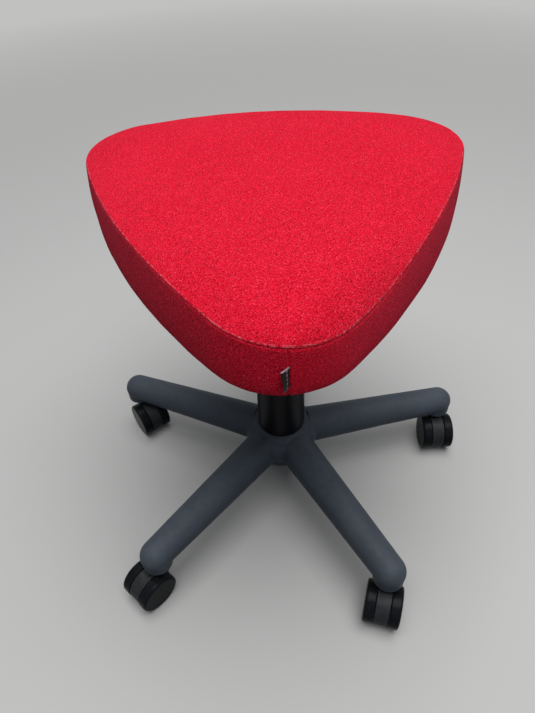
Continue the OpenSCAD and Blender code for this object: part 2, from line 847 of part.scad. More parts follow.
module upper_cover() {
  h = up_cover_top_z - up_cover_z;
  color("black")
    translate([0, 0, up_cover_z])
      difference() {
        cylinder(d = up_cover_d, h = h);
        translate([0, 0, -eps]) cylinder(d = up_cover_d - 2 * up_cover_t, h = h - up_cover_top_t + eps);
        cylinder(d = cyl_d + 2 * hold_fit, h = h + eps);
      }
}

// ---------- base ----------

module on_legs() {
  for (k = [0 : legs - 1]) rotate([0, 0, leg_turn + leg_spread * k]) children();
}

// Radius of a leg at the distance x from the column
function leg_width_at(x) = leg_root_r - (leg_root_r - leg_tip_r) * x / stem_circle_r;

// Slopes a leg along +X down to its tip, about the point where its axis meets the stem's
module slope_leg() {
  translate([stem_circle_r, 0, leg_axis_z]) rotate([0, leg_slope, 0])
    translate([-stem_circle_r, 0, -leg_axis_z]) children();
}

// Stretch of a leg along +X, with its wall thinned by shrink
module leg_body(shrink, start_x, end_x) {
  translate([start_x, 0, leg_axis_z]) rotate([0, 90, 0])
    cylinder(r1 = leg_width_at(start_x) - shrink, r2 = leg_width_at(end_x) - shrink, h = end_x - start_x);
}

module leg_skin() {
  drop = leg_axis_z - leg_open_z;
  slope_leg()
    intersection() {
      translate([0, 0, leg_axis_z]) rotate([0, 90, 0]) rotate_extrude()
        polygon(concat([[0, leg_start_x], [leg_width_at(leg_start_x), leg_start_x]], [for (i = [0 : 9])
          [leg_tip_r * cos(10 * i), stem_circle_r + leg_tip_r * sin(10 * i)]]));
      translate([0, -leg_root_r - eps, leg_open_z + leg_tip_r * sin(leg_slope)])
        cube([stem_circle_r + leg_tip_r + eps, 2 * leg_root_r + 2 * eps, 2 * leg_root_r]);
    }
  translate([stem_circle_r, 0, leg_open_z]) cylinder(r = leg_tip_r - 0.5, h = drop);
}

// Room inside a leg, open at the bottom
module leg_room() {
  start_x = (tube_d / 2 + hub_sleeve_t + hub_r - hub_wall) / 2;
  end_x = stem_circle_r - stem_d / 2 - 7;
  drop = leg_axis_z - leg_open_z;
  root_w = sqrt(pow(leg_root_r, 2) - pow(drop, 2)) - leg_wall;
  end_w = sqrt(pow(leg_tip_r, 2) - pow(drop, 2)) - leg_wall;
  intersection() {
    union() {
      leg_body(leg_wall, start_x, end_x);
      translate([0, 0, leg_open_z - eps])
        linear_extrude(drop + eps) polygon([[0, -root_w], [end_x, -end_w], [end_x, end_w], [0, root_w]]);
    }
    translate([start_x, -leg_root_r, leg_open_z - 2 * eps])
      cube([end_x - start_x, 2 * leg_root_r, 2 * leg_root_r]);
  }
}

module leg_ribs() {
  first_x = hub_r + 14;
  last_x = stem_circle_r - stem_d / 2 - 7;
  pitch = (last_x - first_x) / rib_count;
  inside = leg_root_r - leg_wall / 2;
  intersection() {
    union() {
      for (i = [0 : rib_count - 1])
        translate([first_x + i * pitch, -inside, leg_open_z + 2]) cube([rib_t, 2 * inside, 2 * inside]);
      translate([hub_r, -rib_t / 2, leg_open_z + 2])
        cube([last_x - hub_r + eps, rib_t, 2 * inside]);
    }
    leg_body(leg_wall / 2, leg_start_x, stem_circle_r);
  }
}

module hub_body() {
  rotate_extrude()
    polygon(concat([[0, hub_low_z], [hub_r - 2, hub_low_z]],
      round_over(hub_r, hub_top_z, hub_edge_r),
      [[0, hub_top_z]]));
}

// Bent half tubes that round off the corners between the legs
module leg_webs() {
  tube_r = leg_root_r - 2;
  ring_r = web_r + tube_r;
  skin_r = tube_r - 0.5;
  half_turn = 90 - leg_spread / 2;
  web_z = leg_axis_z + (stem_circle_r - hub_r) * sin(leg_slope);
  rotate([0, 0, leg_spread / 2]) on_legs()
    translate([ring_r / sin(leg_spread / 2), 0, web_z]) rotate([0, 0, 180 - half_turn])
      rotate_extrude(angle = 2 * half_turn)
        polygon([for (i = [-5 : 5]) [ring_r - skin_r * cos(15 * i), skin_r * sin(15 * i)]]);
}

module base_star() {
  sleeve_r = tube_d / 2 + hub_sleeve_t;
  color("darkslategray")
    difference() {
      union() {
        difference() {
          union() {
            hub_body();
            leg_webs();
            on_legs() leg_skin();
          }
          on_legs() slope_leg() leg_room();
          difference() {
            translate([0, 0, hub_low_z - eps])
              cylinder(r = hub_r - hub_wall, h = hub_top_z - hub_top_t - hub_low_z + eps);
            translate([0, 0, hub_low_z - 2 * eps]) cylinder(r = sleeve_r, h = hub_top_z);
          }
        }
        on_legs() slope_leg() leg_ribs();
      }
      tube_foot(hold_fit, hub_low_z - eps);
      translate([0, 0, hub_top_z - eps]) cylinder(d = tube_d + 2 * hold_fit, h = 3 * eps);
      on_legs() translate([stem_circle_r, 0, 0]) {
        translate([0, 0, leg_open_z - eps]) cylinder(d = stem_d + 2 * run_fit, h = stem_in_leg + 2 * eps);
        translate([0, 0, grip_ring_z - face_gap])
          cylinder(d = stem_d + 1, h = grip_ring_h + 2 * face_gap);
      }
    }
}

// ---------- casters ----------

module caster_stems() {
  color("silver")
    on_legs() translate([stem_circle_r, 0, 0])
      difference() {
        union() {
          translate([0, 0, stem_low_z]) cylinder(d = stem_d, h = stem_top_z - stem_low_z);
          translate([0, 0, flange_low_z]) cylinder(d = stem_flange_d, h = stem_flange_t);
        }
        translate([0, 0, grip_ring_z]) groove(stem_d, stem_d - 2 * grip_ring_t + 0.6, grip_ring_h);
      }
}

module grip_rings() {
  inner_d = stem_d - 2 * grip_ring_t + 0.6 + 2 * hold_fit;
  color("silver")
    on_legs() translate([stem_circle_r, 0, grip_ring_z + hold_fit])
      open_ring(inner_d + 2 * grip_ring_t, inner_d, grip_ring_h - 2 * hold_fit, 30);
}

// Places its children at caster k, with the stem along Z and the axle along X
module at_caster(k) {
  rotate([0, 0, leg_turn + leg_spread * (k - 1)])
    translate([stem_circle_r, 0, 0])
      rotate([0, 0, caster_heading[k - 1] - leg_turn - leg_spread * (k - 1)]) children();
}

// Cylinder along the axle's line, centred on the stem's plane
module on_axle(r, l) {
  translate([-l / 2, -trail, wheel_z]) rotate([0, 90, 0]) cylinder(r = r, h = l);
}

module caster_hood(k) {
  color("black")
    at_caster(k)
      difference() {
        union() {
          on_axle(hood_r, hood_w);
          translate([0, 0, wheel_z]) cylinder(d = hood_w, h = hood_top_z - wheel_z);
          translate([0, 0, hood_top_z - collar_t]) cylinder(d = collar_d, h = collar_t);
        }
        translate([-hood_w, -trail - hood_r - eps, -eps])
          cube([2 * hood_w, 2 * hood_r + 2 * eps, hood_floor_gap + eps]);
        translate([0, 0, stem_low_z - face_gap])
          cylinder(d = stem_d + 2 * run_fit, h = stem_in_hood + 2 * face_gap);
        on_axle(axle_d / 2 + hold_fit, hood_w + 2 * eps);
      }
}

module caster_axle(k) {
  color("silver") at_caster(k) on_axle(axle_d / 2, axle_l);
}

// Wheel with its inner face on the XY plane and its closed outer face at wheel_w
module wheel() {
  r = wheel_d / 2;
  hub = wheel_hub_d / 2;
  bore_r = r - wheel_rim_t;
  bore_l = wheel_w - wheel_face_t;
  difference() {
    rotate_extrude()
      polygon(concat([[0, 0], [r - 0.8, 0], [r, 0.8]], round_over(r, wheel_w, wheel_edge_r), [[0, wheel_w]]));
    rotate_extrude()
      polygon([[hub, -eps], [bore_r, -eps], [bore_r, bore_l], [hub, bore_l]]);
    translate([0, 0, -eps]) cylinder(d = axle_d + 2 * run_fit, h = bore_l + eps);
  }
}

// side is -1 for the wheel at the axle's -X end and 1 for the other
module caster_wheel(k, side) {
  color("black")
    at_caster(k)
      translate([side * (hood_w / 2 + wheel_gap), -trail, wheel_z]) rotate([0, 90 * side, 0]) wheel();
}

base_star();
caster_stems();
grip_rings();
lift_tube();
guide_bush();
race_lower();
bearing_balls();
bearing_cage();
lower_cover();
piston_rod();
rod_piston();
race_upper();
bump_stop();
rod_end_washer();
rod_end_clip();
lift_cylinder();
cylinder_gland();
upper_cover();
lift_socket();
mechanism_plate();
pivot_pin();
pivot_clips();
plate_bolts();
plate_washers();
tee_nuts();
seat_board();
seat_foam();
seat_cover();
underside_lining();
lining_staples();
seat_tag();
release_pin();
height_lever();
lever_grip();
for (k = [1 : legs]) {
  caster_hood(k);
  caster_axle(k);
  caster_wheel(k, -1);
  caster_wheel(k, 1);
}
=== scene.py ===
"""Rolling stool: the finish and the soft pieces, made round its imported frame. Metres, +Z up."""

import math
import bmesh
import bpy
from mathutils import Matrix, Vector, kdtree, noise


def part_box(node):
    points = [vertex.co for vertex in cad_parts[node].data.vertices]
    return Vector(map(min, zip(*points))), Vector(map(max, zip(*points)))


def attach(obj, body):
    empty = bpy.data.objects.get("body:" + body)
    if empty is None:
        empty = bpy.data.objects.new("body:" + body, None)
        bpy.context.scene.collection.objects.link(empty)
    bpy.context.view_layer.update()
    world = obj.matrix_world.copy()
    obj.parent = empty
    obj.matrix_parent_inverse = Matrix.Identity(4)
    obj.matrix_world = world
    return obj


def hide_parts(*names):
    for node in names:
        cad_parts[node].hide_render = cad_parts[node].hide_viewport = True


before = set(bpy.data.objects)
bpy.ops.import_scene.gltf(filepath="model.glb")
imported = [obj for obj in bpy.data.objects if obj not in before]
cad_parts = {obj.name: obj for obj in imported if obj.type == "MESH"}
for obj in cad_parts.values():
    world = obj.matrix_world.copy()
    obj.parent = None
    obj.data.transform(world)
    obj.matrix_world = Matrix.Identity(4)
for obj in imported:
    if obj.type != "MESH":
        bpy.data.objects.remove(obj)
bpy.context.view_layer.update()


# ---------- floor, light and camera ----------
# The stool stands on a plain pale floor, under one wide soft lamp overhead with a weak one in front.
# The sides of the seat get little light, as they do outdoors under a grey sky. Far off, the floor fades
# into the backdrop.

PALE = (0.50, 0.50, 0.49)
UNSEEN_FLOOR, UNSEEN_SKY = (0.12, 0.12, 0.12), (0.10, 0.105, 0.115)
floor_r, fade_from, fade_to = 14, 0.9, 2.6


def new_object(name, bm, *, smooth=True):
    """Turns a bmesh into an object at the origin and frees the bmesh."""
    mesh = bpy.data.meshes.new(name)
    bm.to_mesh(mesh)
    bm.free()
    for polygon in mesh.polygons:
        polygon.use_smooth = smooth
    made = bpy.data.objects.new(name, mesh)
    bpy.context.scene.collection.objects.link(made)
    return made


def place(tree, kind, sockets=(), **settings):
    """Adds a shader node. A socket given as a value is linked, and a number or colour is set."""
    node = tree.nodes.new("ShaderNode" + kind)
    for name, value in settings.items():
        setattr(node, name, value)
    for name, value in dict(sockets).items():
        if isinstance(value, bpy.types.NodeSocket):
            tree.links.new(value, node.inputs[name])
        else:
            node.inputs[name].default_value = value
    return node


def new_material(name, sockets=()):
    """A material with its Principled shader, and plain values on the shader's sockets."""
    made = bpy.data.materials.new(name)
    made.use_nodes = True
    shader = made.node_tree.nodes["Principled BSDF"]
    for socket, value in dict(sockets).items():
        shader.inputs[socket].default_value = value
    return made, made.node_tree, shader


def seen_directly(tree):
    """1 where the eye, a reflection or clear glass shows the surface, 0 where it only lights."""
    path = place(tree, "LightPath")
    shown = path.outputs["Is Camera Ray"]
    for ray in ("Is Glossy Ray", "Is Transmission Ray"):
        shown = place(tree, "Math", {0: shown, 1: path.outputs[ray]}, operation="MAXIMUM").outputs[0]
    return shown


floor_mesh = bmesh.new()
bmesh.ops.create_circle(floor_mesh, cap_ends=True, segments=96, radius=floor_r)
floor = new_object("floor", floor_mesh)
floor_paint, tree, shader = new_material("floor_paint", {"Roughness": 0.9, "Emission Strength": 1.0})
seen = seen_directly(tree)
shades = place(tree, "Mix", {"Factor": seen, "A": (*UNSEEN_FLOOR, 1), "B": (*PALE, 1)}, data_type="RGBA")
from_middle = place(tree, "VectorMath", {0: place(tree, "TexCoord").outputs["Object"]}, operation="LENGTH")
far_off = place(tree, "MapRange", {"Value": from_middle.outputs["Value"], "From Min": fade_from,
                                   "From Max": fade_to, "To Max": seen})
for socket, near, far in (("Base Color", shades.outputs["Result"], (0, 0, 0, 1)),
                          ("Emission Color", (0, 0, 0, 1), (*PALE, 1))):
    faded = place(tree, "Mix", {"Factor": far_off.outputs[0], "A": near, "B": far}, data_type="RGBA")
    tree.links.new(faded.outputs["Result"], shader.inputs[socket])
floor.data.materials.append(floor_paint)

world = bpy.data.worlds.new("sky")
world.use_nodes = True
tree = world.node_tree
glow = place(tree, "Mix", {"Factor": seen_directly(tree), "A": (*UNSEEN_SKY, 1), "B": (*PALE, 1)},
             data_type="RGBA")
tree.links.new(glow.outputs["Result"], tree.nodes["Background"].inputs["Color"])
bpy.context.scene.world = world

for name, place_at, aim, size, power in (
        ("overhead", (0.15, -0.10, 2.6), (0, 0, 0.35), 2.2, 80),
        ("front", (0.9, -2.4, 1.5), (0, 0, 0.2), 1.6, 4)):
    lamp = bpy.data.lights.new(name, "AREA")
    lamp.size = size
    lamp.energy = power
    light = bpy.data.objects.new(name, lamp)
    light.location = place_at
    light.rotation_euler = (Vector(aim) - Vector(place_at)).to_track_quat("-Z", "Y").to_euler()
    bpy.context.scene.collection.objects.link(light)

yaw, pitch, roll = (math.radians(a) for a in (-1.025, 45.40, -2.671))
forward = Vector((math.sin(yaw) * math.cos(pitch), math.cos(yaw) * math.cos(pitch), -math.sin(pitch)))
level = Vector((math.cos(yaw), -math.sin(yaw), 0))
above = level.cross(forward)
right = math.cos(roll) * level + math.sin(roll) * above
up = math.cos(roll) * above - math.sin(roll) * level
camera = bpy.data.objects.new("camera", bpy.data.cameras.new("camera"))
camera.data.lens = 28.42
camera_at = (-0.0064, -0.4832, 0.7161)
camera.matrix_world = Matrix.Translation(camera_at) @ Matrix((right, up, -forward)).transposed().to_4x4()
bpy.context.scene.collection.objects.link(camera)
bpy.context.scene.camera = camera
bpy.context.scene.view_settings.view_transform = "Standard"


# ---------- seat pad ----------
# Moulded foam on a plywood board, covered in red wool crepe. A top panel is sewn to a side band whose
# ends meet at the front tip. The band's lower edge is pulled under the board and stapled there.

tip_r, side_r = 0.070, 0.600
reach = -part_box("seat_cover")[0].y
pad_low, pad_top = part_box("seat_cover")[0].z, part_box("seat_cover")[1].z
crown_r = 2.500
roll_w, roll_h = 0.026, 0.014
roll_r = (roll_w ** 2 + roll_h ** 2) / (2 * roll_h)
bulge = 0.0028
low_roll = 0.007
hem_w, hem_end, hem_t = 0.042, 0.0035, 0.0003
tip_centre = reach - tip_r
side_centre = (math.sqrt(4 * (side_r - tip_r) ** 2 - 3 * tip_centre ** 2) - tip_centre) / 2
side_half = math.atan2(tip_centre * math.cos(math.radians(30)), tip_centre / 2 + side_centre)
tip_half = math.radians(60) - side_half
rim_z = pad_top - (side_r - side_centre - roll_w) ** 2 / (2 * crown_r)
seam_z = rim_z - roll_h
seam_turn = math.radians(2.5)


def polar(distance, angle, z=0.0):
    return Vector((distance * math.cos(angle), distance * math.sin(angle), z))


def outline(inset, z=0.0):
    """Draws the seat's outline from the front tip round, inset by a distance, as a loop of edges."""
    bm = bmesh.new()
    lead = [math.radians(a) for a in (0.45, 0.45, 0.6, 0.9, 1.3)]
    arcs = [(0, False, a, 1) for a in lead] + [(0, False, tip_half - seam_turn - sum(lead), 16)]
    for k in range(3):
        arcs.append((k, True, 2 * side_half, 60))
        arcs.append((k + 1, False, 2 * tip_half, 36))
    arcs[-1] = (3, False, tip_half + seam_turn - sum(lead), 16)
    arcs += [(3, False, a, 1) for a in reversed(lead)]
    loop = [bm.verts.new(Vector((0, -tip_centre, z)) + polar(tip_r - inset, seam_turn - math.pi / 2))]
    for tip, on_side, angle, steps in arcs:
        turn = math.radians(120 * tip - 90)
        centre = polar(-side_centre, turn + math.radians(60)) if on_side else polar(tip_centre, turn)
        first = len(bm.verts)
        bmesh.ops.spin(bm, geom=loop[-1:], cent=centre, axis=(0, 0, 1), angle=angle, steps=steps,
                       use_merge=False)
        bm.verts.ensure_lookup_table()
        loop += bm.verts[first:]
    bmesh.ops.weld_verts(bm, targetmap={loop[-1]: loop[0]})
    loop.pop()
    return bm, loop


def extrude_loop(bm, loop):
    """Extrudes a loop of corners, and returns the new loop in the same order, and its faces."""
    edges = [next(e for e in a.link_edges if b in e.verts) for a, b in zip(loop, loop[1:] + loop[:1])]
    made = bmesh.ops.extrude_edge_only(bm, edges=edges)["geom"]
    fresh = {item for item in made if isinstance(item, bmesh.types.BMVert)}
    return ([next(e.other_vert(corner) for e in corner.link_edges if e.other_vert(corner) in fresh)
             for corner in loop], [item for item in made if isinstance(item, bmesh.types.BMFace)])


def side_inset(z):
    """The band bulges most low down, and the top panel curves in above the seam."""
    if z > seam_z:
        return roll_w - math.sqrt(2 * roll_r * (rim_z - z) - (rim_z - z) ** 2)
    return -bulge * math.sin(math.pi * ((z - pad_low) / (seam_z - pad_low)) ** 0.6)


def eased(x):
    x = min(max(x, 0.0), 1.0)
    return x * x * (3 - 2 * x)


# The section from the stapled hem, up the band, over the rim and to the middle of the top panel
steps = [(hem_w, pad_low + hem_end), (hem_w, pad_low + hem_t)]
steps += [(inset, pad_low) for inset in (0.038, 0.033, 0.028, 0.023, 0.018, 0.014, 0.010)]
for a in (0.05, 0.4, 0.8, 1.2):
    z = pad_low + low_roll * (1 - math.cos(a))
    steps.append((side_inset(z) + low_roll * (1 - math.sin(a)), z))
band_steps = 11
band_low, band_top = pad_low + low_roll, seam_z - 0.006
for i in range(band_steps + 1):
    z = band_low + (band_top - band_low) * i / band_steps
    steps.append((side_inset(z), z))
steps += [(side_inset(seam_z + s), seam_z + s) for s in (-0.0042, -0.0029, -0.0019, -0.0011, -0.0005)]
seam_ring = len(steps)
steps += [(side_inset(seam_z + s), seam_z + s) for s in (0, 0.0005, 0.0011, 0.0019)]
steps += [(roll_w - roll_r * math.sin(a), rim_z - roll_r * (1 - math.cos(a)))
          for a in (math.radians(46 - 7.4 * i) for i in range(6))]
rim_ring = len(steps)
steps += [(roll_w + 0.005 * i, rim_z) for i in range(9)]
last_inset = steps[-1][0]
shrink = [1 - 0.07 * i for i in range(1, 14)]
panel_end = 0.010

inner, inner_loop = outline(panel_end)
pad, loop = outline(0.0)
outward = [(a.co - b.co).normalized() for a, b in zip(loop, inner_loop)]
inner.free()
rim_line = [corner.co.copy() for corner in loop]
panels = pad.faces.layers.int.new("panel")
rings = []
for number, (inset, z) in enumerate(steps + [(last_inset, rim_z)] * len(shrink)):
    if number:
        loop, faces = extrude_loop(pad, loop)
        for face in faces:
            face[panels] = int(number > seam_ring)
    size = 1.0 if number < len(steps) else shrink[number - len(steps)]
    for corner, edge_point, out in zip(loop, rim_line, outward):
        corner.co = (edge_point - inset * out) * size + Vector((0, 0, z))
    rings.append(loop)
bmesh.ops.contextual_create(pad, geom=rings[0])
cap = bmesh.ops.contextual_create(pad, geom=loop)["faces"]
cap[0][panels] = 1
bmesh.ops.poke(pad, faces=cap)
bmesh.ops.recalc_face_normals(pad, faces=pad.faces)
columns = len(rings[0])

# Where each corner lies on the flat cloth, before the pad is crowned and swells
along = [0.0]
for (a, b), (c, d) in zip(steps, steps[1:]):
    along.append(along[-1] + math.hypot(c - a, d - b))
rim_flat = [corner.co.xy.copy() for corner in rings[rim_ring]]
round_seat = [0.0]
for a, b in zip(rings[seam_ring], rings[seam_ring][1:] + rings[seam_ring][:1]):
    round_seat.append(round_seat[-1] + (b.co - a.co).length)
place_of = {corner: (number, column)
            for number, ring in enumerate(rings) for column, corner in enumerate(ring)}
band_beside = 0.5
cloth_map = pad.loops.layers.uv.new("cloth")
for face in pad.faces:
    wraps = len({place_of[c][1] for c in face.verts if c in place_of} & {0, columns - 1}) == 2
    for loop in face.loops:
        number, column = place_of.get(loop.vert, (len(rings), 0))
        if face[panels] and number >= rim_ring:
            loop[cloth_map].uv = loop.vert.co.xy
        elif face[panels]:
            loop[cloth_map].uv = rim_flat[column] + outward[column].xy * (along[rim_ring] - along[number])
        else:
            column = columns if wraps and column == 0 else column
            loop[cloth_map].uv = (round_seat[column], along[number] + band_beside)

dip_at, dip_width, dip_depth, seam_raise = math.radians(-74), math.radians(30), 0.017, 0.007


def seam_dip(spot):
    """The cover is sewn a little askew: its seam runs high, and dips to the right of the front tip."""
    from_dip = abs(spot.xy.angle_signed(polar(1, dip_at).xy))
    return dip_depth * math.exp(-(from_dip / dip_width) ** 2) - seam_raise


# The crown lowers the rim most at the three tips
crown_start = pad_low + 0.030
for number, ring in enumerate(rings):
    for column, corner in enumerate(ring):
        dip = seam_dip(rim_line[column])
        if number >= seam_ring:
            corner.co.z = rim_z - (rim_z - corner.co.z) * (1 + dip / roll_h)
        else:
            corner.co.z = pad_low + (corner.co.z - pad_low) * (1 - dip / (seam_z - pad_low))
        lift = eased((corner.co.z - crown_start) / (rim_z - crown_start))
        spread = corner.co.xy if number >= rim_ring else rim_flat[column]
        corner.co.z += lift * (pad_top - spread.length_squared / (2 * crown_r) - rim_z)
for corner in pad.verts:
    if corner not in place_of:
        corner.co.z = pad_top


def displaced(mesh_object):
    """The corners' places once all modifiers have worked."""
    shown = mesh_object.evaluated_get(bpy.context.evaluated_depsgraph_get())
    return [corner.co.copy() for corner in shown.data.vertices]


# The foam fills the cover: a remeshed copy swells as cloth, and the skin takes over its moves
swell_cap, swell_frames = 0.0045, 20
seam_spots = kdtree.KDTree(columns)
for column, corner in enumerate(rings[seam_ring]):
    seam_spots.insert(corner.co, column)
seam_spots.balance()
copy = pad.copy()
trial = new_object("trial", copy)
even = trial.modifiers.new("even", "REMESH")
even.voxel_size = 0.005
shown = trial.evaluated_get(bpy.context.evaluated_depsgraph_get())
remeshed = bpy.data.meshes.new_from_object(shown)
trial.modifiers.clear()
trial.data = remeshed
slack = [corner.co.copy() for corner in trial.data.vertices]
held = trial.vertex_groups.new(name="held")
for number, spot in enumerate(slack):
    near_seam = math.exp(-(seam_spots.find(spot)[2] / 0.005) ** 2)
    held.add([number], 1.0 if spot.z < pad_low + 0.006 else 0.6 * near_seam, "REPLACE")
cloth = trial.modifiers.new("cloth", "CLOTH")
cloth.settings.quality = 8
cloth.settings.mass = 0.25
cloth.settings.tension_stiffness = cloth.settings.compression_stiffness = 25
cloth.settings.bending_stiffness = 2
cloth.settings.use_pressure = True
cloth.settings.uniform_pressure_force = 4
cloth.settings.effector_weights.gravity = 0
cloth.settings.vertex_group_mass = "held"
cloth.point_cache.frame_start, cloth.point_cache.frame_end = 1, swell_frames
for moment in range(1, swell_frames + 1):
    bpy.context.scene.frame_set(moment)
moves = [now - before for now, before in zip(displaced(trial), slack)]
bpy.context.scene.frame_set(1)
bpy.data.objects.remove(trial)
tree_of_spots = kdtree.KDTree(len(slack))
for number, spot in enumerate(slack):
    tree_of_spots.insert(spot, number)
tree_of_spots.balance()
for corner in pad.verts:
    found = tree_of_spots.find_n(corner.co, 6)
    weights = [1 / (distance + 0.002) ** 2 for _, _, distance in found]
    pulls = [moves[number] * weight for (_, number, _), weight in zip(found, weights)]
    move = sum(pulls, Vector()) / sum(weights)
    if move.length > 0:
        move *= swell_cap * math.tanh(move.length / swell_cap) / move.length
    corner.co += move

# Sewing: a furrow at each seam with a raised lip on both sides, small gathers under it at the tips,
# pleats where the hem goes round the tips, and the slight unevenness of cloth over foam
TOP_SEAM = ((-0.0060, 0), (-0.0042, -0.05), (-0.0029, -0.1), (-0.0019, -0.15), (-0.0011, -0.35),
            (-0.0005, -0.7), (0, -0.9), (0.0005, -0.5), (0.0011, 0.15), (0.0019, 0.4), (0.0040, 0.15),
            (0.0080, 0))
FRONT_SEAM = ((0, -1.1), (0.0006, -0.8), (0.0012, -0.1), (0.0019, 0.25), (0.0030, 0.2), (0.0048, 0))
gather_turns, gather_h = 660, 0.30
pleat_turns, pleat_h, pleat_sink = 480, 0.55, 0.4
tip_spread = 0.055


def along_curve(curve, x):
    """Millimetres of a sewn section at x, straight between its points."""
    for (a, low), (b, high) in zip(curve, curve[1:]):
        if a <= x <= b:
            return low + (high - low) * (x - a) / (b - a)
    return 0.0


pad.normal_update()
lifts, seam_gap = {}, {}
tips = [polar(reach, math.radians(120 * k - 90)).xy for k in range(3)]
for number, ring in enumerate(rings):
    for column, corner in enumerate(ring):
        u = round_seat[column]
        from_front = min(u, round_seat[-1] - u)
        above_seam = along[min(number, rim_ring)] - along[seam_ring]
        seam_gap[corner] = above_seam
        push = along_curve(TOP_SEAM, above_seam) if number < rim_ring else 0.0
        near_tip = max(math.exp(-((corner.co.xy - tip).length / tip_spread) ** 2) for tip in tips)
        if number < seam_ring:
            if number > 9:
                push += along_curve(FRONT_SEAM, from_front) * eased(-above_seam / 0.003)
            gather = math.sin(u * gather_turns + 2.2 * math.sin(u * 210))
            push += gather_h * gather * near_tip * math.exp(-((above_seam + 0.005) / 0.006) ** 2)
            pleat = math.sin(u * pleat_turns + 1.5 * math.sin(u * 130))
            near_hem = math.exp(-(max(number - 8, 0) / 3) ** 2) * (number > 1)
            push += (pleat_h * pleat - pleat_sink) * near_tip * near_hem
        uneven = noise.noise(corner.co * 22) * 0.5 + noise.noise(corner.co * 60) * 0.15
        push += uneven * (number > 3)
        lifts[corner] = corner.normal * push * 0.001
for corner, lift in lifts.items():
    corner.co += lift
bmesh.ops.triangulate(pad, faces=[face for face in pad.faces if len(face.verts) > 4])
gaps = [seam_gap.get(corner, 1.0) for corner in pad.verts]
seat_pad = new_object("seat_pad", pad)
seat_pad.data.attributes.new("from_seam", "FLOAT", "POINT").data.foreach_set("value", gaps)
rounder = seat_pad.modifiers.new("rounder", "SUBSURF")
rounder.levels = rounder.render_levels = 1
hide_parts("seat_cover", "seat_foam")
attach(seat_pad, "seat")


def node_group(name, entries, exits):
    """An empty shader node group. Entries are (name, default), where no default means a place."""
    group = bpy.data.node_groups.new(name, "ShaderNodeTree")
    kinds = {float: "NodeSocketFloat", type(None): "NodeSocketVector"}
    for label, value in entries:
        socket = group.interface.new_socket(label, in_out="INPUT", socket_type=kinds[type(value)])
        if value is not None:
            socket.default_value = value
    for label in exits:
        group.interface.new_socket(label, in_out="OUTPUT", socket_type="NodeSocketFloat")
    return group, group.nodes.new("NodeGroupInput").outputs, group.nodes.new("NodeGroupOutput").inputs


def math_node(tree, operation, a, b=0.0, c=0.0, clamp=False):
    return place(tree, "Math", {0: a, 1: b, 2: c}, operation=operation, use_clamp=clamp).outputs[0]


def ramp(tree, value, low, high, to_low=0.0, to_high=1.0):
    """value is stretched from low..high to to_low..to_high, and held at the ends."""
    return place(tree, "MapRange", {"Value": value, "From Min": low, "From Max": high, "To Min": to_low,
                                    "To Max": to_high}).outputs[0]


def blend_colors(tree, share, a, b):
    return place(tree, "Mix", {"Factor": share, "A": a, "B": b}, data_type="RGBA").outputs["Result"]


def bump(tree, height, distance, strength=1.0):
    made = place(tree, "Bump", {"Height": height, "Distance": distance, "Strength": strength})
    return made.outputs["Normal"]


# Crepe weave: short floats of yarn in two directions, mixed without order, each yarn of its own tone
crepe, cin, cout = node_group("crepe_weave", [("Place", None), ("Yarn", 1.0)], ["Height", "Tone"])
heights, tones = [], []
for turn, seed in ((0.70, 3.0), (-0.82, 11.0)):
    turned = place(crepe, "Mapping", {"Vector": cin["Place"], "Rotation": (0, 0, turn),
                                      "Location": (seed, seed, 0)})
    flat = place(crepe, "VectorMath", {0: turned.outputs[0], 1: (1.0, 1.75, 1.0)}, operation="MULTIPLY")
    cells = place(crepe, "TexVoronoi", {"Vector": flat.outputs[0], "Scale": cin["Yarn"], "Randomness": 0.75},
                  voronoi_dimensions="2D")
    heights.append(ramp(crepe, cells.outputs["Distance"], 0.75, 0.0))
    tones.append(place(crepe, "SeparateColor", {"Color": cells.outputs["Color"]}).outputs[0])
patches = math_node(crepe, "MULTIPLY", cin["Yarn"], 0.55)
choice = place(crepe, "TexNoise", {"Vector": cin["Place"], "Scale": patches, "Detail": 1.0},
               noise_dimensions="2D").outputs["Fac"]
side = ramp(crepe, choice, 0.47, 0.53)
hairs = math_node(crepe, "MULTIPLY", cin["Yarn"], 6.0)
fibre = place(crepe, "TexNoise", {"Vector": cin["Place"], "Scale": hairs, "Detail": 2.0},
              noise_dimensions="2D").outputs["Fac"]
mixed, tone = (place(crepe, "Mix", {"Factor": side, "A": a, "B": b}).outputs["Result"]
               for a, b in (heights, tones))
crepe.links.new(math_node(crepe, "MULTIPLY_ADD", fibre, 0.25, mixed), cout["Height"])
crepe.links.new(tone, cout["Tone"])

wool, tree, shader = new_material("red_wool", {
    "Roughness": 0.92, "Sheen Weight": 0.10, "Sheen Roughness": 0.45, "Sheen Tint": (1.0, 0.40, 0.60, 1),
    "Specular IOR Level": 0.03})
on_cloth = place(tree, "UVMap", uv_map="cloth").outputs[0]
weave = place(tree, "Group", node_tree=crepe)
weave.inputs["Yarn"].default_value = 620
tree.links.new(on_cloth, weave.inputs["Place"])
where = place(tree, "TexCoord").outputs["Object"]
worn = place(tree, "TexNoise", {"Vector": where, "Scale": 9.0, "Detail": 3.0}).outputs["Fac"]
tone = weave.outputs["Tone"]
yarn_color = blend_colors(tree, tone, (0.66, 0.0045, 0.019, 1), (0.92, 0.019, 0.055, 1))
yarn_color = blend_colors(tree, ramp(tree, tone, 0.85, 0.98), yarn_color, (0.95, 0.045, 0.090, 1))
# Painted shade: the low parts of the weave, between the yarn floats, are darkened towards a deep red
painted_pit_shade = ramp(tree, weave.outputs["Height"], 0.15, 0.75)
yarn_color = blend_colors(tree, painted_pit_shade, (0.25, 0.001, 0.006, 1), yarn_color)
worn = ramp(tree, worn, 0.35, 0.75, 0.0, 0.10)
yarn_color = blend_colors(tree, worn, yarn_color, (0.93, 0.03, 0.07, 1))
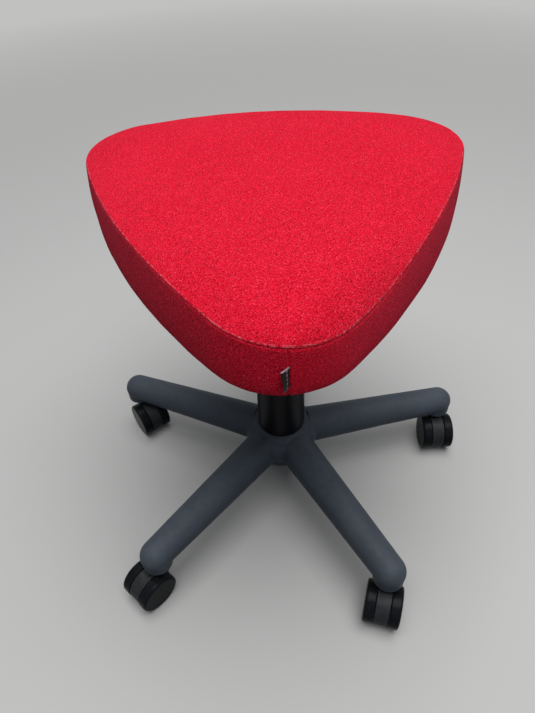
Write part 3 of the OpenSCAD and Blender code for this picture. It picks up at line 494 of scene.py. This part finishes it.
# Painted highlight: a pale pink line, broken into dashes by noise, along the raised lip just above the top
# seam, where the lip would catch the light
seam_at = place(tree, "Attribute", attribute_name="from_seam").outputs["Fac"]
off_lip = math_node(tree, "ABSOLUTE", math_node(tree, "SUBTRACT", seam_at, 0.0016))
lip_highlight_breaks = place(tree, "TexNoise", {"Vector": where, "Scale": 330.0}).outputs["Fac"]
painted_lip_highlight = math_node(tree, "MULTIPLY", ramp(tree, off_lip, 0.0011, 0.0004),
                ramp(tree, lip_highlight_breaks, 0.46, 0.58, 0.0, 0.45))
yarn_color = blend_colors(tree, painted_lip_highlight, yarn_color, (0.95, 0.17, 0.21, 1))
tree.links.new(yarn_color, shader.inputs["Base Color"])
tree.links.new(bump(tree, weave.outputs["Height"], 0.0006, 0.8), shader.inputs["Normal"])
seat_pad.data.materials.append(wool)


# ---------- underside lining ----------
# Black spun-bonded cloth that hides the board and the hem. Its edge is folded in and stapled along the
# sides and round the tips, so it puckers at the staples and hangs a little between them.

lining_inset = 0.016
cut_l, cut_w, cut_turn = 0.174, 0.154, math.radians(30)
lining, loop = outline(lining_inset, pad_low)
edge_line = [corner.co.copy() for corner in loop]
side_staples, tip_staples = 9, 3


def slack_between_staples(spot):
    """0 at a staple and 1 half way between two, for a point near the edge."""
    for k in range(3):
        for centre, half, count, turn in (
                (polar(tip_centre, math.radians(120 * k - 90)), tip_half, tip_staples, 120 * k - 90),
                (polar(-side_centre, math.radians(120 * k - 30)), side_half, side_staples, 120 * k - 30)):
            arm = (spot - centre).xy
            angle = arm.angle_signed(polar(1, math.radians(turn)).xy)
            if abs(angle) <= half + 1e-4:
                return math.cos(math.pi * (angle + half) / (2 * half) * count) ** 2
    return 0.0


for number, (inset, drop) in enumerate((
        (0.027, 0.00022), (0.0185, 0.00022), (0.0165, 0.00035), (0.0161, 0.00055), (0.0165, 0.00075),
        (0.0185, 0.00085), (0.023, 0.0007), (0.027, 0.0005), (0.031, 0.00042), (0.035, 0.00044),
        (0.038, 0.0006))):
    if number:
        loop, _ = extrude_loop(lining, loop)
    for corner, edge_point, out in zip(loop, edge_line, outward):
        slack = slack_between_staples(edge_point)
        pucker = slack * (0.0005 if 2 < number < 10 else 0.0)
        pull = 0.0009 * slack * (number in (2, 3, 4))
        corner.co = edge_point - (inset - lining_inset - pull) * out - Vector((0, 0, drop + pucker))
cut_place = (Matrix.Translation((0, 0, pad_low - 0.0006)) @ Matrix.Rotation(cut_turn, 4, "Z")
             @ Matrix.Diagonal((cut_l, cut_w, 1, 1)))
cut_out = bmesh.ops.create_grid(lining, x_segments=24, y_segments=22, size=0.5, matrix=cut_place)["verts"]
border = [corner for corner in cut_out if corner.is_boundary]
bmesh.ops.delete(lining, geom=[corner for corner in cut_out if not corner.is_boundary], context="VERTS")
filled = [face for corner in border for face in corner.link_faces]
bmesh.ops.delete(lining, geom=filled, context="FACES_ONLY")
rim_edges = [edge for edge in lining.edges if edge.verts[0] in border and edge.verts[1] in border]
last_loop = set(loop)
inner_edges = [edge for corner in loop for edge in corner.link_edges if last_loop.issuperset(edge.verts)]
made = bmesh.ops.bridge_loops(lining, edges=list(set(inner_edges)) + rim_edges)
bmesh.ops.subdivide_edges(lining, edges=made["edges"], cuts=5, use_grid_fill=True)
for corner in lining.verts:
    turned = Matrix.Rotation(-cut_turn, 3, "Z") @ corner.co
    from_hole = max(abs(turned.x) - cut_l / 2, abs(turned.y) - cut_w / 2)
    if corner.co.z < pad_low - 0.0005 and from_hole < 0.06:
        corner.co.z += 0.0004 * noise.noise(corner.co * 45) - 0.0004 * eased(from_hole / 0.02)
bmesh.ops.recalc_face_normals(lining, faces=lining.faces)
underside = new_object("lining_cloth", lining)
thickness = underside.modifiers.new("thickness", "SOLIDIFY")
thickness.thickness = 0.0003
thickness.offset = 0
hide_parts("underside_lining")
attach(underside, "seat")

spunbond, tree, shader = new_material("spunbond_cloth", {
    "Roughness": 0.85, "Sheen Weight": 0.1, "Specular IOR Level": 0.25})
where = place(tree, "TexCoord").outputs["Object"]
dots = place(tree, "TexVoronoi", {"Vector": where, "Scale": 900.0, "Randomness": 0.15},
             voronoi_dimensions="3D").outputs["Distance"]
threads = place(tree, "TexNoise", {"Vector": where, "Scale": 1600.0, "Detail": 4.0,
                                   "Distortion": 1.5}).outputs["Fac"]
pressed = ramp(tree, dots, 0.25, 0.42)
tree.links.new(blend_colors(tree, math_node(tree, "MULTIPLY", pressed, threads), (0.007, 0.007, 0.008, 1),
                            (0.035, 0.035, 0.038, 1)), shader.inputs["Base Color"])
raised = math_node(tree, "MULTIPLY_ADD", threads, 0.5, pressed)
tree.links.new(bump(tree, raised, 0.0002), shader.inputs["Normal"])
underside.data.materials.append(spunbond)


# ---------- seat tag ----------
# A bare black satin ribbon with pale selvedges, folded once and sewn into the seam at the front tip.
# It stands out of the seam a little askew, and its free corner curls.

tag_h, tag_out, tag_root = 0.021, 0.0072, 0.0035
tag_rows, tag_turn, tag_lift = 12, math.radians(-35), 0.014
fold_r = 0.00038
ribbon = bmesh.new()
across = ribbon.verts.layers.float.new("across")
path = [ribbon.verts.new((-fold_r, tag_root, 0))]
for y in (0.0, -0.0025, -0.0048, fold_r - tag_out):
    made = bmesh.ops.extrude_vert_indiv(ribbon, verts=path[-1:])
    path += made["verts"]
    path[-1].co.y = y
first = len(ribbon.verts)
bmesh.ops.spin(ribbon, geom=path[-1:], cent=(0, fold_r - tag_out, 0), axis=(0, 0, 1), angle=math.pi,
               steps=4, use_merge=False)
ribbon.verts.ensure_lookup_table()
path += ribbon.verts[first:]
for y in (-0.0048, -0.0025, 0.0, tag_root):
    made = bmesh.ops.extrude_vert_indiv(ribbon, verts=path[-1:])
    path += made["verts"]
    path[-1].co.y = y
length_at = [0.0]
for a, b in zip(path, path[1:]):
    length_at.append(length_at[-1] + (b.co - a.co).length)
for corner, s in zip(path, length_at):
    corner[across] = s
edges = list(ribbon.edges)
for _ in range(tag_rows):
    made = bmesh.ops.extrude_edge_only(ribbon, edges=edges)["geom"]
    edges = [item for item in made if isinstance(item, bmesh.types.BMEdge) and len(item.link_faces) == 1
             and all(end in made for end in item.verts)]
    fresh = [item for item in made if isinstance(item, bmesh.types.BMVert)]
    bmesh.ops.translate(ribbon, vec=(0, 0, tag_h / tag_rows), verts=fresh)
tag_map = ribbon.loops.layers.uv.new("cloth")
for face in ribbon.faces:
    for corner_loop in face.loops:
        corner_loop[tag_map].uv = (corner_loop.vert[across], corner_loop.vert.co.z)
for corner in ribbon.verts:
    out = max(-corner.co.y, 0) / tag_out
    rise = corner.co.z / tag_h
    corner.co.x += -0.0010 * out ** 2 * rise ** 2 + 0.0006 * math.sin(5 * rise) * out
bmesh.ops.rotate(ribbon, matrix=Matrix.Rotation(tag_turn, 3, "Z"), verts=ribbon.verts)
tag_place = (tip_r * math.sin(seam_turn), 0.0012 - bulge - reach, pad_low + tag_lift)
bmesh.ops.translate(ribbon, vec=tag_place, verts=ribbon.verts)
bmesh.ops.recalc_face_normals(ribbon, faces=ribbon.faces)
tag = new_object("tag_ribbon", ribbon)
thickness = tag.modifiers.new("thickness", "SOLIDIFY")
thickness.thickness = 0.0004
thickness.offset = 0
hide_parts("seat_tag")
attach(tag, "seat")

satin, tree, shader = new_material("satin_ribbon", {"Roughness": 0.45, "Specular IOR Level": 0.12})
on_tag = place(tree, "UVMap", uv_map="cloth").outputs[0]
parts = place(tree, "SeparateXYZ", {0: on_tag})
height_on_tag = parts.outputs["Y"]
from_middle = math_node(tree, "ABSOLUTE", math_node(tree, "SUBTRACT", height_on_tag, tag_h / 2))
near_edge = ramp(tree, from_middle, tag_h / 2 - 0.0009, tag_h / 2 - 0.0005)
ribs = place(tree, "TexWave", {"Vector": on_tag, "Scale": 420.0, "Distortion": 0.4}, bands_direction="Y")
from_end = math_node(tree, "PINGPONG", parts.outputs["X"], length_at[-1] / 2)
from_stitch = math_node(tree, "ABSOLUTE", math_node(tree, "SUBTRACT", from_end, tag_root + 0.0024))
near_root = ramp(tree, from_stitch, 0.0010, 0.0006)
stitch = ramp(tree, math_node(tree, "PINGPONG", height_on_tag, 0.0022), 0.0006, 0.0010)
pale_thread = math_node(tree, "MAXIMUM", near_edge, math_node(tree, "MULTIPLY", near_root, stitch))
tree.links.new(blend_colors(tree, pale_thread, (0.004, 0.004, 0.005, 1), (0.26, 0.19, 0.22, 1)),
               shader.inputs["Base Color"])
tree.links.new(bump(tree, ribs.outputs["Fac"], 0.00008), shader.inputs["Normal"])
tag.data.materials.append(satin)


# ---------- seat board and staples ----------
# Nine-ply birch board under the foam with four T-nuts pressed in from above. The staples are galvanised
# wire, driven through the lining and the hem.

def dress(finish, *names):
    """Gives CAD nodes their finish."""
    for name in names:
        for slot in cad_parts[name].material_slots:
            slot.material = finish


plywood, tree, shader = new_material("birch_plywood", {"Roughness": 0.7})
where = place(tree, "TexCoord").outputs["Object"]
height = place(tree, "SeparateXYZ", {0: where}).outputs["Z"]
plies = math_node(tree, "PINGPONG", height, 0.00133)
grain = place(tree, "Mapping", {"Vector": where, "Scale": (8, 90, 30)}).outputs[0]
figure = place(tree, "TexNoise", {"Vector": grain, "Scale": 3.0, "Detail": 5.0,
                                  "Distortion": 0.8}).outputs["Fac"]
pale_wood = blend_colors(tree, figure, (0.46, 0.29, 0.15, 1), (0.62, 0.44, 0.26, 1))
tree.links.new(blend_colors(tree, ramp(tree, plies, 0.0003, 0.0006), (0.25, 0.14, 0.07, 1), pale_wood),
               shader.inputs["Base Color"])
tree.links.new(bump(tree, figure, 0.0002), shader.inputs["Normal"])
dress(plywood, "seat_board")

# Noise that dulls or darkens a surface in clouds, fine grain for its bump, and dust on what faces up
clouds, cin, cout = node_group("clouds", [("Place", None), ("Scale", 12.0)], ["Value"])
cloud = place(clouds, "TexNoise", {"Vector": cin["Place"], "Scale": cin["Scale"], "Detail": 5.0,
                                   "Roughness": 0.6})
clouds.links.new(ramp(clouds, cloud.outputs["Fac"], 0.32, 0.68), cout["Value"])

fine_grain, cin, cout = node_group("fine_grain", [("Place", None), ("Scale", 1500.0)], ["Height"])
pits = place(fine_grain, "TexVoronoi", {"Vector": cin["Place"], "Scale": cin["Scale"]}, feature="SMOOTH_F1")
small = place(fine_grain, "TexNoise", {"Vector": cin["Place"], "Scale": cin["Scale"], "Detail": 3.0})
both = math_node(fine_grain, "ADD", pits.outputs["Distance"], small.outputs["Fac"])
fine_grain.links.new(both, cout["Height"])

dust, cin, cout = node_group("dust", [("Place", None), ("Amount", 0.2)], ["Mask"])
upward = place(dust, "SeparateXYZ", {0: place(dust, "NewGeometry").outputs["Normal"]}).outputs["Z"]
specks = place(dust, "TexNoise", {"Vector": cin["Place"], "Scale": 160.0, "Detail": 6.0, "Roughness": 0.75})
settled = math_node(dust, "MULTIPLY", ramp(dust, upward, 0.1, 0.95),
                    ramp(dust, specks.outputs["Fac"], 0.35, 0.7))
dust.links.new(math_node(dust, "MULTIPLY", settled, cin["Amount"]), cout["Mask"])

worn_edge, cin, cout = node_group("worn_edge", [("Place", None), ("Width", 0.001)], ["Mask"])
soft = place(worn_edge, "Bevel", {"Radius": cin["Width"]}, samples=4).outputs[0]
flat = place(worn_edge, "NewGeometry").outputs["Normal"]
agree = place(worn_edge, "VectorMath", {0: soft, 1: flat}, operation="DOT_PRODUCT").outputs["Value"]
breaks = place(worn_edge, "TexNoise", {"Vector": cin["Place"], "Scale": 120.0, "Detail": 4.0})
worn_edge.links.new(math_node(worn_edge, "MULTIPLY", ramp(worn_edge, agree, 0.995, 0.93),
                              ramp(worn_edge, breaks.outputs["Fac"], 0.4, 0.6)), cout["Mask"])


def use(tree, group, where, **values):
    """Places a shared group on a pattern's place, with its own values."""
    node = place(tree, "Group", node_tree=group)
    tree.links.new(where, node.inputs["Place"])
    for name, value in values.items():
        node.inputs[name].default_value = value
    return node.outputs[0]


def metal(name, color, dull, shine, scale=400.0, depth=0.00003, metallic=1.0, worn=None):
    """A metal or painted metal whose roughness wanders between shine and dull."""
    finish, tree, shader = new_material(name, {"Metallic": metallic})
    where = place(tree, "TexCoord").outputs["Object"]
    cloud = use(tree, clouds, where, Scale=22.0)
    darker = tuple(0.72 * channel for channel in color)
    shade = blend_colors(tree, cloud, (*darker, 1), (*color, 1))
    if worn:
        shade = blend_colors(tree, use(tree, worn_edge, where, Width=0.0012), shade, (*worn, 1))
    tree.links.new(shade, shader.inputs["Base Color"])
    tree.links.new(ramp(tree, cloud, 0, 1, shine, dull), shader.inputs["Roughness"])
    tree.links.new(bump(tree, use(tree, fine_grain, where, Scale=scale), depth), shader.inputs["Normal"])
    return finish


dress(metal("galvanised_wire", (0.62, 0.62, 0.60), 0.45, 0.30), "lining_staples")
dress(metal("zinc_plate", (0.60, 0.61, 0.62), 0.42, 0.26), "tee_nuts", "plate_washers", "pivot_pin",
      "race_lower", "race_upper", "rod_end_washer")


# ---------- mechanism plate ----------
# Pressed steel flange with a welded box that holds the lift's socket, powder-coated black. Four black
# screws with washers hold it to the board.

dress(metal("powder_coat", (0.020, 0.020, 0.022), 0.55, 0.42, scale=700.0, depth=0.00012, metallic=0.0,
            worn=(0.10, 0.10, 0.10)), "mechanism_plate", "lift_socket")
dress(metal("black_screw", (0.035, 0.034, 0.034), 0.5, 0.34, metallic=0.8), "plate_bolts")
dress(metal("spring_steel", (0.17, 0.165, 0.16), 0.45, 0.30), "pivot_clips", "rod_end_clip", "grip_rings")


# ---------- lever ----------
# Bent steel rod on a welded sleeve, painted black, with a pressed-on plastic grip.

DUST = (0.30, 0.29, 0.27)


def moulded(name, dark, light, roughness, grain, depth, dust_amount=0.0, level=0.3):
    """A moulded plastic: clouded colour, a grained skin, and grey dust on what faces up."""
    finish, tree, shader = new_material(name, {"Specular IOR Level": level})
    where = place(tree, "TexCoord").outputs["Object"]
    cloud = use(tree, clouds, where, Scale=16.0)
    shade = blend_colors(tree, cloud, (*dark, 1), (*light, 1))
    if dust_amount:
        shade = blend_colors(tree, use(tree, dust, where, Amount=dust_amount), shade, (*DUST, 1))
    tree.links.new(shade, shader.inputs["Base Color"])
    tree.links.new(ramp(tree, cloud, 0, 1, roughness - 0.05, roughness + 0.05), shader.inputs["Roughness"])
    tree.links.new(bump(tree, use(tree, fine_grain, where, Scale=grain), depth), shader.inputs["Normal"])
    return finish


dress(metal("lever_paint", (0.022, 0.022, 0.024), 0.45, 0.30, scale=500.0, depth=0.00006, metallic=0.0,
            worn=(0.16, 0.16, 0.16)), "height_lever")
dress(moulded("grip_plastic", (0.008, 0.008, 0.009), (0.014, 0.014, 0.015), 0.45, 1400.0, 0.00006),
      "lever_grip")


# ---------- gas lift ----------
# A gas cylinder that hangs from the socket on a hard-chromed rod, in a painted outer tube with a plastic
# bush. The rod's foot turns on a ball thrust bearing.

dress(metal("lift_paint", (0.016, 0.016, 0.017), 0.40, 0.28, scale=600.0, depth=0.00004, metallic=0.0),
      "lift_tube", "lift_cylinder")
dress(metal("hard_chrome", (0.78, 0.78, 0.80), 0.14, 0.06), "piston_rod")
dress(metal("bearing_steel", (0.66, 0.66, 0.67), 0.22, 0.10), "bearing_balls", "release_pin", "rod_piston")
dress(moulded("cage_plastic", (0.45, 0.32, 0.12), (0.55, 0.40, 0.17), 0.5, 900.0, 0.00003), "bearing_cage")
dress(moulded("bush_plastic", (0.52, 0.50, 0.45), (0.60, 0.58, 0.53), 0.45, 900.0, 0.00003), "guide_bush",
      "cylinder_gland")
dress(moulded("bump_rubber", (0.012, 0.012, 0.012), (0.022, 0.022, 0.021), 0.8, 500.0, 0.0001), "bump_stop")


# ---------- column covers ----------
# Two telescoping sleeves of black polypropylene that hide the lift, smooth, faintly clouded and lightly
# dusted.

dress(moulded("cover_plastic", (0.0030, 0.0031, 0.0045), (0.0045, 0.0047, 0.0065), 0.40, 1800.0, 0.00002,
              0.03, level=0.12), "lower_cover", "upper_cover")


# ---------- base ----------
# One moulding of glass-filled nylon, dark blue-grey, with a fine matt spark texture all over.

dress(moulded("base_nylon", (0.050, 0.062, 0.080), (0.069, 0.085, 0.108), 0.52, 1300.0, 0.00010, 0.08,
              level=0.12), "base_star")


# ---------- casters ----------
# Twin wheels of hard black nylon on a steel axle, each pair beside a narrow matt hood that turns on a
# plated stem in the leg.

dress(metal("stem_steel", (0.58, 0.58, 0.57), 0.40, 0.22), "caster_stems")
hood_plastic = moulded("hood_plastic", (0.010, 0.012, 0.014), (0.017, 0.019, 0.023), 0.50, 1500.0, 0.00006,
                       0.08, level=0.15)
wheel_nylon = moulded("wheel_nylon", (0.003, 0.0037, 0.0055), (0.006, 0.0070, 0.0098), 0.26, 700.0, 0.00002,
                      0.03, level=0.05)
axle_steel = metal("axle_steel", (0.55, 0.55, 0.54), 0.40, 0.25)
for number in range(1, 6):
    dress(hood_plastic, f"caster_hood_{number}")
    dress(axle_steel, f"caster_axle_{number}")
    dress(wheel_nylon, f"caster_wheel_left_{number}", f"caster_wheel_right_{number}")
